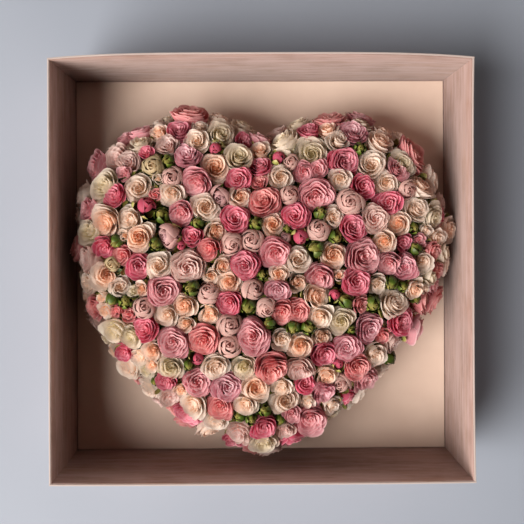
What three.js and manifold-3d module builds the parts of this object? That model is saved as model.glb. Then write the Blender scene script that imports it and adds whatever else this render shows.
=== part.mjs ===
// A square paper-lined gift box that holds a heart of spray roses planted in floral foam.
// Millimetres, +Z up. The origin is the centre of the box's underside, and the heart's tip points to -Y.
import * as THREE from 'three';
import { mergeVertices } from 'three/addons/utils/BufferGeometryUtils.js';
import Module from 'manifold-3d';

// The box
const BOX_SIDE = 500;
const BOX_HEIGHT = 140;
const BOARD = 2;
const LINING = 1;
const LINING_DROP = 0.8;
const FLOOR_CARD = 2;
const FLOOR_GAP = 1.2;

// The floral foam and its tray-like backing
const BACKING_THICKNESS = 4;
const BACKING_SCALE = 0.715;
const FOAM_SCALE = 0.7;
const FOAM_SHIFT = -7;
const FOAM_TOP = 58;
const FOAM_BEVEL = 6;
const FOAM_OUTLINE_STEPS = 40;
const STEM_CLEARANCE = 0.4;

// The mound of blooms: a shoulder that is a quarter of an ellipse, then a low crown
const EDGE_HEIGHT = 34;
const SHOULDER_HEIGHT = 116;
const SHOULDER_WIDTH = 60;
const CROWN = 10;
const CROWN_REACH = 60;
const OUTLINE_STEPS = 200;

// The plan below was read looking down from this point, onto the plane of the box's rim
const SIGHT_POINT = new THREE.Vector3(-22, 55, 1058);

// The low row of roses that face sideways, under the mound's shoulder
const LOW_ROW_SPACING = 37;
const LOW_ROW_INSET = 9;
const LOW_ROW_HEIGHT = 31;
const LOW_ROW_DIAMETERS = [31, 27, 33, 29];
const LOW_ROW_VARIETIES = ['cream', 'rose', 'ivory', 'deep_pink', 'peach', 'blush', 'salmon'];

// Small buds that fill the gaps between the planned roses
const FILL_STEP = 9;
const FILL_EDGE = 3;
const FILL_TOP = { minGap: 5, maxRadius: 9 };
const FILL_SIDE = { minGap: 9, maxRadius: 16 };
const FILL_SIDE_DEPTH = 26;
const FILL_VARIETIES = ['green_bud', 'peach', 'rose', 'green_bud', 'cream', 'magenta_bud', 'salmon'];

// Blooms and stems. A bloom's heart is its middle, at this share of its radius below its face
const BLOOM_GAP = 0.7;
const HEART_DEPTH = 0.5;
const CALYX_DEPTH = { base: 5, perRadius: 1.1 };
const CALYX_RADIUS = 2;
const SIDES_BY_RADIUS = [{ under: 8, sides: 4 }, { under: Infinity, sides: 5 }];
const BRANCH_RADIUS = 1.3;
const HUB_RADIUS = 6;
const HUB_GRIP = 3;
const MAIN_STEM_RADIUS = 2.4;
const MAIN_STEM_SIDES = 4;
const MAIN_STEM_LENGTH = 34;
const SPRAY_SPACING = 62;
const SPRAY_EDGE = 28;
const HUB_DEPTH = 54;

// The heart's outline at mid height, from the cleft anticlockwise round to the cleft again
const OUTLINE = [
  [6, 174], [-40, 193], [-90, 203], [-148, 186], [-200, 150], [-234, 86], [-239, 25], [-219, -68],
  [-174, -132], [-103, -197], [-50, -222], [2, -239], [64, -212], [134, -161], [192, -94], [234, -17],
  [243, 45], [228, 105], [186, 165], [121, 197], [57, 192],
];

// The planting plan: for each variety, every rose as [x, y, diameter], seen from SIGHT_POINT
const PLAN = {
  deep_pink: [
    [-98, 167, 29], [-21, 154, 21], [-136, 139, 17], [-27, 108, 30], [-1, 123, 26], [-172, 89, 27],
    [-32, 60, 34], [-81, 41, 21], [-187, 30, 24], [-146, 7, 27], [-21, 6, 36], [54, 164, 24],
    [95, 128, 40], [118, 98, 26], [150, 80, 29], [212, 66, 19], [39, 64, 32], [105, 50, 31],
    [165, 32, 17], [-39, -36, 31], [-137, -68, 29], [-163, -94, 20], [-115, -130, 24],
    [-90, -168, 33], [-35, -200, 29], [0, -183, 29], [110, -13, 33], [161, -61, 33], [71, -97, 30],
    [49, -133, 21], [101, -151, 17], [33, -197, 26],
  ],
  salmon: [
    [-83, 183, 40], [-2, 103, 19], [-125, 90, 12], [4, 81, 39], [-62, 27, 24], [-163, 20, 24],
    [78, 177, 33], [176, 137, 42], [201, 23, 19], [208, -2, 19], [-200, -43, 25], [-174, -47, 15],
    [-156, -50, 15], [-69, -81, 39], [-51, -160, 31], [22, -47, 31], [42, -47, 29], [115, -39, 19],
    [190, -39, 26], [142, -77, 17], [9, -115, 40], [111, -113, 31],
  ],
  rose: [
    [-142, 164, 29], [-161, 156, 22], [-2, 156, 26], [-161, 116, 17], [-76, 106, 36], [-94, 69, 26],
    [-117, -23, 42], [160, 119, 29], [49, 117, 26], [66, 119, 22], [63, 89, 42], [186, 35, 14],
    [118, 16, 44], [16, 23, 38], [149, 9, 26], [-105, -84, 38], [-11, -77, 40], [-77, -130, 33],
    [68, -6, 33], [122, -128, 26], [56, -174, 33], [34, -168, 19],
  ],
  mauve: [
    [-87, 135, 32], [108, 163, 33], [167, 4, 29], [-43, -137, 36], [18, -22, 29], [125, -67, 33],
    [98, -92, 31], [71, -144, 29],
  ],
  blush: [
    [-110, 149, 24], [-171, 136, 29], [-157, 128, 31], [-88, 5, 38], [132, 60, 29],
    [-110, -146, 24], [-29, -192, 26], [156, -87, 24], [44, -115, 31], [26, -188, 19],
  ],
  peach: [
    [-122, 165, 21], [-55, 177, 12], [-55, 121, 36], [-2, 142, 24], [-184, 60, 36], [-26, 87, 24],
    [-55, 47, 24], [-145, 40, 36], [-161, 42, 12], [-47, 6, 21], [-187, -5, 31], [-142, -21, 17],
    [-39, -13, 29], [77, 167, 24], [144, 164, 24], [139, 152, 30], [188, 97, 31], [161, 55, 26],
    [13, 54, 26], [144, 34, 25], [82, 19, 31], [-91, -40, 26], [-62, -50, 22], [-186, -46, 20],
    [-130, -94, 25], [-90, -62, 17], [-131, -111, 15], [-9, -138, 31], [-97, -140, 15],
    [19, -4, 20], [41, -14, 20], [179, -23, 21], [62, -30, 32], [44, -88, 29], [69, -77, 21],
    [74, -123, 26],
  ],
  cream: [
    [-123, 176, 17], [-73, 170, 20], [-76, 154, 30], [-145, 97, 33], [-106, 92, 31], [-67, 75, 36],
    [-154, 61, 31], [-122, 6, 30], [-168, -19, 24], [89, 153, 29], [128, 123, 33], [21, 110, 29],
    [92, 108, 24], [147, 103, 30], [182, 71, 31], [83, 63, 24], [42, 13, 29], [190, 11, 26],
    [-112, -51, 26], [-146, -102, 20], [-56, -111, 31], [-83, -159, 36], [-20, -157, 31],
    [-57, -178, 26], [135, -16, 21], [152, -40, 38], [67, -54, 31], [22, -81, 21],
    [132, -99, 24], [23, -137, 24], [27, -154, 36], [53, -154, 17], [80, -158, 21], [102, -158, 17],
  ],
  ivory: [
    [-113, 181, 17], [-49, 161, 32], [-23, 170, 29], [-144, 151, 29], [-27, 133, 38],
    [-185, 101, 40], [-206, 47, 31], [-150, -23, 14], [-213, -6, 20], [41, 172, 31], [26, 151, 32],
    [116, 173, 24], [57, 140, 38], [166, 126, 31], [201, 64, 29], [214, 20, 21], [198, -9, 19],
    [-174, -69, 29], [-156, -78, 29], [-185, -80, 18], [-109, -113, 33], [-139, -119, 17],
    [-22, -113, 24], [0, -201, 29], [94, -60, 31], [82, -170, 24],
  ],
  blush_cup: [
    [-105, 109, 24], [-36, 32, 26], [-12, 36, 24], [34, 128, 17], [171, 94, 19], [32, 88, 21],
    [104, 80, 29], [67, 47, 24], [-63, -26, 24], [-12, -22, 24], [-139, -43, 24], [-39, -64, 26],
    [5, -43, 24], [-39, -88, 24], [94, -135, 18],
  ],
  mauve_cup: [[-49, 88, 21], [-108, 41, 24], [27, 40, 10]],
  cream_cup: [[-128, 124, 24], [-176, 8, 16]],
  magenta_bud: [[-53, 145, 15], [-138, 76, 22], [44, 39, 17], [-77, -102, 15], [85, -29, 12]],
  green_bud: [
    [-110, 130, 16], [-118, 66, 16], [-76, 57, 14], [-171, 35, 17], [-125, 32, 15], [-83, -20, 19],
    [0, -5, 11], [68, 68, 14], [179, 50, 14], [30, 49, 10], [87, 39, 17], [63, 25, 20],
    [181, 25, 14], [-178, -33, 14], [-160, -36, 17], [-16, -42, 19], [-128, -131, 9],
    [-28, -172, 12], [-14, -174, 14], [151, -15, 17], [166, -20, 12], [98, -36, 16],
    [129, -39, 19], [183, -36, 11], [36, -67, 15], [54, -67, 17], [8, -61, 14], [104, -69, 10],
    [151, -105, 19], [2, -164, 13], [22, -178, 12],
  ],
};

const VARIETY_COLOURS = {
  deep_pink: 0xcf3f68, salmon: 0xe2727f, rose: 0xe58aa0, mauve: 0xd98ba6, blush: 0xddb5ae,
  peach: 0xebcfb2, cream: 0xecdcc8, ivory: 0xe6e0c4, blush_cup: 0xe0bdb8, mauve_cup: 0xb98a8c,
  cream_cup: 0xe8dfbf, magenta_bud: 0xb8305c, green_bud: 0x5e8a24,
};

const LOOKS = {
  wrapped: { color: 0xd3b2a9, roughness: 0.85 },
  lining: { color: 0xc39f96, roughness: 0.9 },
  floorCard: { color: 0xcfae98, roughness: 0.8 },
  backing: { color: 0xe8e8e2, roughness: 0.6 },
  foam: { color: 0x3f6b45, roughness: 0.95 },
};
const PETAL_ROUGHNESS = 0.7;
const MERGE_DISTANCE = 1e-4;

const wasm = await Module();
wasm.setup();
const UP = new THREE.Vector3(0, 0, 1);

function material({ color, roughness }) {
  return new THREE.MeshStandardMaterial({ color, roughness, metalness: 0 });
}

// Solids for joining and cutting

function toSolid(geometry) {
  const bare = geometry.clone();
  bare.deleteAttribute('normal');
  bare.deleteAttribute('uv');
  const merged = mergeVertices(bare, MERGE_DISTANCE);
  return new wasm.Manifold(new wasm.Mesh({
    numProp: 3,
    vertProperties: new Float32Array(merged.attributes.position.array),
    triVerts: new Uint32Array(merged.index.array),
  }));
}

function toGeometry(solid) {
  const mesh = solid.getMesh();
  const geometry = new THREE.BufferGeometry();
  geometry.setAttribute('position', new THREE.BufferAttribute(mesh.vertProperties, 3));
  geometry.setIndex(new THREE.BufferAttribute(mesh.triVerts, 1));
  const flat = geometry.toNonIndexed();
  flat.computeVertexNormals();
  return flat;
}

function joinAll(solids) {
  return solids.reduce((whole, solid) => whole.add(solid));
}

// The heart's outline and the mound that stands on it

const outlineCurve = new THREE.CatmullRomCurve3(
  OUTLINE.map(([x, y]) => new THREE.Vector3(x, y, 0)), true, 'centripetal');
const outlinePoints = outlineCurve.getSpacedPoints(OUTLINE_STEPS).slice(0, OUTLINE_STEPS);

// How far a point lies inside the outline, and the direction inwards there
function insideOutline(x, y) {
  let nearest = Infinity;
  let inward = null;
  let crossings = 0;
  for (let i = 0; i < OUTLINE_STEPS; i += 1) {
    const a = outlinePoints[i];
    const b = outlinePoints[(i + 1) % OUTLINE_STEPS];
    const run = new THREE.Vector2(b.x - a.x, b.y - a.y);
    const along = ((x - a.x) * run.x + (y - a.y) * run.y) / run.lengthSq();
    const t = THREE.MathUtils.clamp(along, 0, 1);
    const away = new THREE.Vector2(x - a.x - t * run.x, y - a.y - t * run.y);
    if (away.length() < nearest) {
      nearest = away.length();
      inward = away;
    }
    if ((a.y > y) !== (b.y > y) && x < a.x + ((y - a.y) / run.y) * run.x) {
      crossings += 1;
    }
  }
  const isInside = crossings % 2 === 1;
  inward.normalize().multiplyScalar(isInside ? 1 : -1);
  return { depth: isInside ? nearest : -nearest, inward };
}

// The mound's height and its outward normal, at a depth inside the outline
function moundAt(x, y) {
  const { depth, inward } = insideOutline(x, y);
  const reach = THREE.MathUtils.clamp(depth, 0, SHOULDER_WIDTH);
  const cos = 1 - reach / SHOULDER_WIDTH;
  const sin = Math.sqrt(1 - cos * cos);
  const rise = SHOULDER_HEIGHT - EDGE_HEIGHT;
  const crown = CROWN * (1 - Math.exp(-Math.max(0, depth - SHOULDER_WIDTH) / CROWN_REACH));
  const outwards = cos / SHOULDER_WIDTH;
  const normal = new THREE.Vector3(-inward.x * outwards, -inward.y * outwards, sin / rise);
  return { depth, height: EDGE_HEIGHT + rise * sin + crown, normal: normal.normalize() };
}

// Where the line of sight through a planned place meets the mound
function placeOnMound(planX, planY) {
  const rimPoint = new THREE.Vector3(planX, planY, BOX_HEIGHT);
  const sight = rimPoint.clone().sub(SIGHT_POINT);
  for (let z = BOX_HEIGHT; z > EDGE_HEIGHT; z -= 1) {
    const point = SIGHT_POINT.clone().addScaledVector(
      sight, (SIGHT_POINT.z - z) / (SIGHT_POINT.z - BOX_HEIGHT));
    const mound = moundAt(point.x, point.y);
    if (mound.depth > 0 && mound.height >= z) {
      return { face: point, axis: mound.normal };
    }
  }
  const edge = SIGHT_POINT.clone().addScaledVector(
    sight, (SIGHT_POINT.z - EDGE_HEIGHT) / (SIGHT_POINT.z - BOX_HEIGHT));
  return { face: edge, axis: moundAt(edge.x, edge.y).normal };
}

// The blooms

function makeBloom(variety, radius, face, axis) {
  const heart = face.clone().addScaledVector(axis, -HEART_DEPTH * radius);
  return { variety, radius, face, axis, heart };
}

function plannedBlooms() {
  const blooms = [];
  for (const [variety, places] of Object.entries(PLAN)) {
    for (const [x, y, diameter] of places) {
      const { face, axis } = placeOnMound(x, y);
      blooms.push(makeBloom(variety, diameter / 2, face, axis));
    }
  }
  return blooms;
}

function lowRowBlooms() {
  const count = Math.round(outlineCurve.getLength() / LOW_ROW_SPACING);
  const blooms = [];
  for (let i = 0; i < count; i += 1) {
    const point = outlineCurve.getPointAt(i / count);
    const tangent = outlineCurve.getTangentAt(i / count);
    const axis = new THREE.Vector3(tangent.y, -tangent.x, 0).normalize();
    const face = point.addScaledVector(axis, -LOW_ROW_INSET).setZ(LOW_ROW_HEIGHT);
    const diameter = LOW_ROW_DIAMETERS[i % LOW_ROW_DIAMETERS.length];
    blooms.push(makeBloom(LOW_ROW_VARIETIES[i % LOW_ROW_VARIETIES.length], diameter / 2, face, axis));
  }
  return blooms;
}

// Every free place on the mound, widest first, gets a bud until only narrow gaps are left
function fillerBlooms(blooms) {
  const candidates = [];
  for (let x = -BOX_SIDE / 2; x < BOX_SIDE / 2; x += FILL_STEP) {
    for (let y = -BOX_SIDE / 2; y < BOX_SIDE / 2; y += FILL_STEP) {
      const mound = moundAt(x, y);
      if (mound.depth > FILL_EDGE) {
        const face = new THREE.Vector3(x, y, mound.height);
        const limits = mound.depth < FILL_SIDE_DEPTH ? FILL_SIDE : FILL_TOP;
        candidates.push({ face, axis: mound.normal, limits });
      }
    }
  }
  const fillers = [];
  for (;;) {
    const standing = blooms.concat(fillers);
    let best = null;
    for (const place of candidates) {
      place.gap = Math.min(...standing.map((bloom) => place.face.distanceTo(bloom.face) - bloom.radius));
      if (place.gap > place.limits.minGap && (best === null || place.gap > best.gap)) {
        best = place;
      }
    }
    if (best === null) {
      return fillers;
    }
    const variety = FILL_VARIETIES[fillers.length % FILL_VARIETIES.length];
    fillers.push(makeBloom(variety, Math.min(best.gap, best.limits.maxRadius), best.face, best.axis));
  }
}

// Solid blooms stay clear of each other, so where two crowd, both give up some radius
function settleRadii(blooms) {
  for (const bloom of blooms) {
    bloom.solidRadius = bloom.radius;
  }
  for (const bloom of blooms) {
    for (const other of blooms) {
      const room = bloom.heart.distanceTo(other.heart) - BLOOM_GAP;
      const share = bloom.radius / (bloom.radius + other.radius);
      if (other !== bloom && bloom.radius + other.radius > room) {
        bloom.solidRadius = Math.min(bloom.solidRadius, room * share);
      }
    }
  }
}

// A closed solid through rings of points, each ring given by its centre, direction and radius
function loftRings(rings, sides, pole) {
  const positions = pole ? [pole.x, pole.y, pole.z] : [];
  const faces = [];
  const first = pole ? 1 : 0;
  rings.forEach(({ centre, axis, radius }) => {
    const turn = new THREE.Quaternion().setFromUnitVectors(UP, axis);
    for (let i = 0; i < sides; i += 1) {
      const angle = (2 * Math.PI * i) / sides;
      const point = new THREE.Vector3(Math.cos(angle), Math.sin(angle), 0).multiplyScalar(radius);
      positions.push(...point.applyQuaternion(turn).add(centre).toArray());
    }
  });
  const at = (ring, i) => first + ring * sides + (i % sides);
  for (let i = 0; i < sides; i += 1) {
    if (pole) {
      faces.push(0, at(0, i), at(0, i + 1));
    }
    for (let ring = 0; ring < rings.length - 1; ring += 1) {
      faces.push(at(ring, i), at(ring + 1, i), at(ring + 1, i + 1));
      faces.push(at(ring, i), at(ring + 1, i + 1), at(ring, i + 1));
    }
  }
  for (let i = 1; i < sides - 1; i += 1) {
    faces.push(at(rings.length - 1, 0), at(rings.length - 1, i + 1), at(rings.length - 1, i));
    if (!pole) {
      faces.push(at(0, 0), at(0, i), at(0, i + 1));
    }
  }
  const geometry = new THREE.BufferGeometry();
  geometry.setAttribute('position', new THREE.Float32BufferAttribute(positions, 3));
  geometry.setIndex(faces);
  return geometry;
}

function calyxOf({ face, axis, solidRadius }) {
  return face.clone().addScaledVector(axis, -CALYX_DEPTH.base - CALYX_DEPTH.perRadius * solidRadius);
}

// A bloom's solid: a low dome that tapers back to the calyx, and its branch to the spray's hub
function bloomSolid(bloom, hub) {
  const { face, axis, solidRadius } = bloom;
  const below = (depth) => face.clone().addScaledVector(axis, -depth);
  const calyx = calyxOf(bloom);
  const towards = calyx.clone().sub(hub);
  const end = hub.clone().addScaledVector(towards, HUB_GRIP / towards.length());
  const rings = [
    { centre: below(HEART_DEPTH * solidRadius), axis, radius: solidRadius },
    { centre: calyx, axis, radius: CALYX_RADIUS },
    { centre: end, axis: towards.normalize(), radius: BRANCH_RADIUS },
  ];
  const { sides } = SIDES_BY_RADIUS.find(({ under }) => solidRadius < under);
  return toSolid(loftRings(rings, sides, face));
}

// The sprays: each hub is where one main stem branches to the blooms nearest to it

function sprayHubs() {
  const hubs = [];
  const rowStep = SPRAY_SPACING * Math.sqrt(0.75);
  const rows = Math.ceil(BOX_SIDE / 2 / rowStep);
  const columns = Math.ceil(BOX_SIDE / 2 / SPRAY_SPACING);
  for (let row = rows; row >= -rows; row -= 1) {
    const shift = row % 2 === 0 ? 0 : SPRAY_SPACING / 2;
    for (let column = -columns; column <= columns; column += 1) {
      const x = column * SPRAY_SPACING + shift;
      const y = row * rowStep;
      const mound = moundAt(x, y);
      if (mound.depth > SPRAY_EDGE) {
        const hub = new THREE.Vector3(x, y, mound.height).addScaledVector(mound.normal, -HUB_DEPTH);
        hubs.push({ hub, axis: mound.normal, blooms: [] });
      }
    }
  }
  return hubs;
}

function shareBlooms(blooms, sprays) {
  for (const bloom of blooms) {
    const calyx = calyxOf(bloom);
    const distances = sprays.map((spray) => spray.hub.distanceTo(calyx));
    sprays[distances.indexOf(Math.min(...distances))].blooms.push(bloom);
  }
}

// The main stem swells where it branches, and tapers as it goes straight down into the foam
function mainStem(spray, clearance) {
  const along = (distance) => spray.hub.clone().addScaledVector(spray.axis, distance);
  const rings = [
    { centre: along(0), radius: HUB_RADIUS },
    { centre: along(-MAIN_STEM_LENGTH - clearance), radius: MAIN_STEM_RADIUS },
  ].map(({ centre, radius }) => ({ centre, radius: radius + clearance, axis: spray.axis }));
  return toSolid(loftRings(rings, MAIN_STEM_SIDES, along(HUB_RADIUS + clearance)));
}

function spraySolid(spray) {
  return joinAll([mainStem(spray, 0), ...spray.blooms.map((bloom) => bloomSolid(bloom, spray.hub))]);
}

function sprayColour(spray) {
  const mean = new THREE.Color(0, 0, 0);
  for (const bloom of spray.blooms) {
    mean.add(new THREE.Color(VARIETY_COLOURS[bloom.variety]));
  }
  return mean.multiplyScalar(1 / spray.blooms.length);
}

// The foam and the backing: the outline drawn in towards the box's centre

function heartPrism(scale, low, high, bevel) {
  const shape = new THREE.Shape(
    outlineCurve.getSpacedPoints(FOAM_OUTLINE_STEPS).slice(0, -1)
      .map((point) => new THREE.Vector2(point.x * scale, point.y * scale + FOAM_SHIFT)));
  const geometry = new THREE.ExtrudeGeometry(shape, {
    depth: high - low - 2 * bevel, steps: 1, bevelEnabled: bevel > 0,
    bevelThickness: bevel, bevelSize: bevel, bevelOffset: -bevel, bevelSegments: 1,
  });
  geometry.translate(0, 0, low + bevel);
  return geometry;
}

// The box

const object = new THREE.Group();

function addMesh(name, geometry, look) {
  const mesh = new THREE.Mesh(geometry, look);
  mesh.name = name;
  object.add(mesh);
}

function addPanel(name, size, centre, look) {
  const mesh = new THREE.Mesh(new THREE.BoxGeometry(...size), look);
  mesh.name = name;
  mesh.position.set(...centre);
  object.add(mesh);
}

function addBox() {
  const wrapped = material(LOOKS.wrapped);
  const lining = material(LOOKS.lining);
  const wallHeight = BOX_HEIGHT - BOARD;
  const wallMiddle = BOARD + wallHeight / 2;
  const wallPlace = (BOX_SIDE - BOARD) / 2;
  const inner = BOX_SIDE - 2 * BOARD;
  addPanel('base_board', [BOX_SIDE, BOX_SIDE, BOARD], [0, 0, BOARD / 2], wrapped);
  addPanel('wall_board_front', [BOX_SIDE, BOARD, wallHeight], [0, -wallPlace, wallMiddle], wrapped);
  addPanel('wall_board_back', [BOX_SIDE, BOARD, wallHeight], [0, wallPlace, wallMiddle], wrapped);
  addPanel('wall_board_left', [BOARD, inner, wallHeight], [-wallPlace, 0, wallMiddle], wrapped);
  addPanel('wall_board_right', [BOARD, inner, wallHeight], [wallPlace, 0, wallMiddle], wrapped);

  const liningHeight = wallHeight - LINING_DROP;
  const liningMiddle = BOARD + liningHeight / 2;
  const liningPlace = (inner - LINING) / 2;
  const clear = inner - 2 * LINING;
  addPanel('lining_front', [inner, LINING, liningHeight], [0, -liningPlace, liningMiddle], lining);
  addPanel('lining_back', [inner, LINING, liningHeight], [0, liningPlace, liningMiddle], lining);
  addPanel('lining_left', [LINING, clear, liningHeight], [-liningPlace, 0, liningMiddle], lining);
  addPanel('lining_right', [LINING, clear, liningHeight], [liningPlace, 0, liningMiddle], lining);

  const card = clear - 2 * FLOOR_GAP;
  const cardMiddle = BOARD + FLOOR_CARD / 2;
  addPanel('floor_card', [card, card, FLOOR_CARD], [0, 0, cardMiddle], material(LOOKS.floorCard));
}

function addArrangement() {
  const planned = plannedBlooms().concat(lowRowBlooms());
  const blooms = planned.concat(fillerBlooms(planned));
  settleRadii(blooms);
  const sprays = sprayHubs();
  shareBlooms(blooms, sprays);
  const planted = sprays.filter((spray) => spray.blooms.length > 0);

  const floor = BOARD + FLOOR_CARD;
  const foamLow = floor + BACKING_THICKNESS;
  addMesh('foam_backing', heartPrism(BACKING_SCALE, floor, foamLow, 0), material(LOOKS.backing));
  const holes = joinAll(planted.map((spray) => mainStem(spray, STEM_CLEARANCE)));
  const foam = toSolid(heartPrism(FOAM_SCALE, foamLow, FOAM_TOP, FOAM_BEVEL)).subtract(holes);
  addMesh('foam_heart', toGeometry(foam), material(LOOKS.foam));

  planted.forEach((spray, index) => {
    const name = `rose_spray_${String(index + 1).padStart(2, '0')}`;
    const look = material({ color: sprayColour(spray), roughness: PETAL_ROUGHNESS });
    addMesh(name, toGeometry(spraySolid(spray)), look);
  });
}

addBox();
addArrangement();

export default object;
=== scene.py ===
# An open square gift box, lined in dusty pink paper, with a heart of spray roses planted in floral foam.
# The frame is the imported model, in metres. Sizes below are in millimetres where a name doesn't say more.
import math
from random import Random
from types import SimpleNamespace

import bmesh
import bpy
import numpy as np
from mathutils import Matrix, Vector


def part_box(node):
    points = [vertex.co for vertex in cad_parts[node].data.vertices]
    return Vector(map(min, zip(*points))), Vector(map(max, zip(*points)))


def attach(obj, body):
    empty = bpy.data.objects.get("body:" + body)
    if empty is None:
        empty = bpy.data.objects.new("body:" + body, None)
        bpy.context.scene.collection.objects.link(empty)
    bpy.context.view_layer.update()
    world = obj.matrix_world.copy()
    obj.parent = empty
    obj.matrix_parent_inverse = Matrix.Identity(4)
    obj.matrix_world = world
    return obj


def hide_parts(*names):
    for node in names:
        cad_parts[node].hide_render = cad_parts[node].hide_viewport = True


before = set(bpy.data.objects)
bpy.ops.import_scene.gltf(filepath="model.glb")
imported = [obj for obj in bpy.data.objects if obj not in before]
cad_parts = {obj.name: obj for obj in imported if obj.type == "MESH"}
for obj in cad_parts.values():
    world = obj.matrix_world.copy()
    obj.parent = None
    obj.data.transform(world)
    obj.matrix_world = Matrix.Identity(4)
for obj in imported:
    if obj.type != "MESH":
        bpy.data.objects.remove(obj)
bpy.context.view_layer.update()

MM = 0.001
TINY = 1e-9

# The box. Each wall has the axis it runs along, the way out, and how far its rim bows that way
BOX_SIDE = 500
BOX_HEIGHT = 140
WALLS = {
    "front": (0, (0, -1, 0), 0.7), "back": (0, (0, 1, 0), 6.0),
    "left": (1, (-1, 0, 0), 0.1), "right": (1, (1, 0, 0), -1.4),
}
BOW_FLATNESS = 4
BOW_RISE = 1.5
RIM_BEVEL = 0.55
RIM_SEGMENTS = 3
SHARP_ANGLE = 40
PANEL_CUTS = 24
PANEL_ROWS = 5
RUBBED_HEIGHT = 138.6
LINING_GAP = 0.8
WALL_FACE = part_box("lining_right")[0].x / MM - LINING_GAP

# The mound of blooms: a shoulder that is a quarter of an ellipse, then a low crown
EDGE_HEIGHT = 34
SHOULDER_HEIGHT = 116
SHOULDER_WIDTH = 60
CROWN = 10
CROWN_REACH = 60
OUTLINE_STEPS = 200
TANGENT_STEP = 1e-4

# The plan below was read looking down from this point, onto the plane of the box's rim
SIGHT_POINT = np.array([-22.0, 55.0, 1058.0])

# The low row of roses that face sideways, under the mound's shoulder
LOW_ROW_SPACING = 37
LOW_ROW_INSET = 9
LOW_ROW_HEIGHT = 31
LOW_ROW_DIAMETERS = [31, 27, 33, 29]
LOW_ROW_VARIETIES = ["cream", "rose", "ivory", "deep_pink", "peach", "blush", "salmon"]

# Small buds that fill the gaps between the planned roses: the least gap and the largest radius
FILL_STEP = 9
FILL_EDGE = 3
FILL_TOP = (5, 9)
FILL_SIDE = (9, 16)
FILL_SIDE_DEPTH = 26
FILL_ROSES = ["cream", "peach", "rose", "blush", "cream", "salmon"]
FILL_BUDS = ["green_bud", "peach", "magenta_bud", "cream"]

# Where a bloom's heart and calyx lie below its face, and where its spray's main stem branches
BLOOM_GAP = 0.7
HEART_DEPTH = 0.5
CALYX_DEPTH = 5
CALYX_DEPTH_PER_RADIUS = 1.1
SPRAY_SPACING = 62
SPRAY_EDGE = 28
HUB_DEPTH = 54

# The heart's outline at mid height, from the cleft anticlockwise round to the cleft again
OUTLINE = np.array([
    [6, 174], [-40, 193], [-90, 203], [-148, 186], [-200, 150], [-234, 86], [-239, 25], [-219, -68],
    [-174, -132], [-103, -197], [-50, -222], [2, -239], [64, -212], [134, -161], [192, -94],
    [234, -17], [243, 45], [228, 105], [186, 165], [121, 197], [57, 192],
], dtype=float)

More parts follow.
